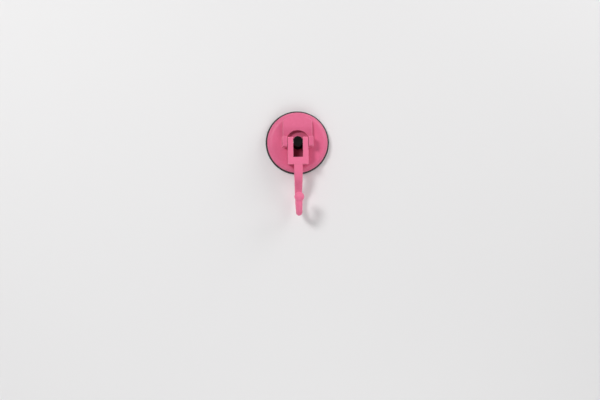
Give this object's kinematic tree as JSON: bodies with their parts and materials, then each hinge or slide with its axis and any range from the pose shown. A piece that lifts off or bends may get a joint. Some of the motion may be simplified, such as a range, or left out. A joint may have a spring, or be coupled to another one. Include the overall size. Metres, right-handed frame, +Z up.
{
  "type": "suction cup hook",
  "caption": "Lever-lock suction hook: round cap over a soft suction cup, with a forked cam lever that pulls the cup tight and ends in a J-hook with a ball tip.",
  "frame": {"origin": "centre of the suction cup's lip, on the wall", "axes": "+Y into the wall, so the front faces -Y, +X to the right when the hook is faced, +Z up"},
  "size_m": [0.065, 0.0349, 0.1074],
  "materials": {
    "pink_plastic": "satin",
    "black_rubber": "matte",
    "black_plastic": "satin",
    "pin_steel": "polished"
  },
  "bodies": {
    "cap": {"cap": "pink_plastic", "suction_cup": "black_rubber"},
    "stem": {"cup_stem": "black_plastic", "pivot_pin": "pin_steel"},
    "lever": {"hook_lever": "pink_plastic"}
  },
  "joints": [
    {"name": "stem_slide", "type": "slide", "parent": "cap", "child": "stem", "axis": [0, 1, 0], "range_m": [0, 0.0028], "deforming": ["suction_cup"]},
    {"name": "lever_pivot", "type": "hinge", "parent": "stem", "child": "lever", "pos_m": [0, -0.0178, 0], "axis": [-1, 0, 0], "range_deg": [0, 90]}
  ],
  "couplings": [
    {"joint": "stem_slide", "follows": "lever_pivot", "m_per_rad": 0.0017825}
  ]
}
